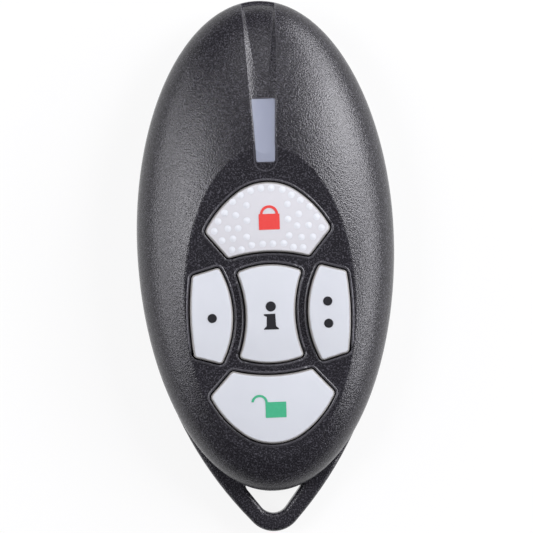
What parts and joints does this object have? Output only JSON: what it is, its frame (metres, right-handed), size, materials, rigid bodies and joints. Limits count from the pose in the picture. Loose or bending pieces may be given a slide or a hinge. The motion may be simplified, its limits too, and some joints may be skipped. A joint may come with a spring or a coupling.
{
  "type": "alarm key fob",
  "caption": "Pocket alarm remote: an egg-shaped textured casing with a scooped keypad of milky silicone keys, a light window and a V-shaped key ring loop.",
  "frame": {"origin": "middle of the whole object's length and width, on the flat back", "axes": "+X to the right across the fob with the keys facing the viewer, +Y towards the light window's end, +Z out of the keypad"},
  "size_m": [0.038, 0.0785, 0.0144],
  "materials": {
    "casing_plastic": "black ABS with a fine spark-eroded texture, low sheen",
    "window_plastic": "translucent blue-grey light guide, smooth",
    "key_silicone": "milky silicone with a thin hard coat, satin",
    "carbon_rubber": "carbon-filled, matt",
    "board_laminate": "glass-epoxy board with green solder resist",
    "gold_plating": "gold-flashed copper",
    "tinned_copper": "tinned strip",
    "led_resin": "clear resin lens",
    "chip_resin": "moulded epoxy",
    "chip_ceramic": "glazed alumina with tinned ends",
    "capacitor_ceramic": "fired ceramic with tinned ends",
    "can_steel": "nickel-plated lid",
    "sounder_plastic": "moulded, matt",
    "cell_steel": "nickel-plated steel",
    "gasket_plastic": "natural nylon ring",
    "holder_plastic": "moulded, matt",
    "spring_steel": "stainless strip",
    "screw_steel": "zinc-plated steel"
  },
  "bodies": {
    "casing": {"top_cover": "casing_plastic", "light_window": "window_plastic", "rear_cover": "casing_plastic", "keypad_mat": "key_silicone", "circuit_board": "board_laminate", "contact_pads": "gold_plating", "status_led": "led_resin", "backlight_leds": "led_resin", "antenna_strip": "tinned_copper", "controller_chip": "chip_resin", "radio_chip": "chip_resin", "crystal": "can_steel", "chip_resistors": "chip_ceramic", "chip_capacitors": "capacitor_ceramic", "sounder": "sounder_plastic", "cell_can": "cell_steel", "cell_gasket": "gasket_plastic", "cell_cap": "cell_steel", "battery_holder": "holder_plastic", "positive_clip": "spring_steel", "negative_leaf": "spring_steel", "case_screws": "screw_steel", "web_lock": "key_silicone", "web_unlock": "key_silicone", "web_info": "key_silicone", "web_one_dot": "key_silicone", "web_two_dots": "key_silicone"},
    "lock_key": {"key_lock": "key_silicone", "pill_lock": "carbon_rubber"},
    "unlock_key": {"key_unlock": "key_silicone", "pill_unlock": "carbon_rubber"},
    "info_key": {"key_info": "key_silicone", "pill_info": "carbon_rubber"},
    "one_dot_key": {"key_one_dot": "key_silicone", "pill_one_dot": "carbon_rubber"},
    "two_dots_key": {"key_two_dots": "key_silicone", "pill_two_dots": "carbon_rubber"}
  },
  "joints": [
    {"name": "lock_press", "type": "slide", "parent": "casing", "child": "lock_key", "axis": [0, 0, -1], "range_m": [0, 0.0008], "stiffness_N_per_m": 1500, "deforming": ["web_lock"]},
    {"name": "unlock_press", "type": "slide", "parent": "casing", "child": "unlock_key", "axis": [0, 0, -1], "range_m": [0, 0.0008], "stiffness_N_per_m": 1500, "deforming": ["web_unlock"]},
    {"name": "info_press", "type": "slide", "parent": "casing", "child": "info_key", "axis": [0, 0, -1], "range_m": [0, 0.0008], "stiffness_N_per_m": 1500, "deforming": ["web_info"]},
    {"name": "one_dot_press", "type": "slide", "parent": "casing", "child": "one_dot_key", "axis": [0, 0, -1], "range_m": [0, 0.0008], "stiffness_N_per_m": 1500, "deforming": ["web_one_dot"]},
    {"name": "two_dots_press", "type": "slide", "parent": "casing", "child": "two_dots_key", "axis": [0, 0, -1], "range_m": [0, 0.0008], "stiffness_N_per_m": 1500, "deforming": ["web_two_dots"]}
  ]
}
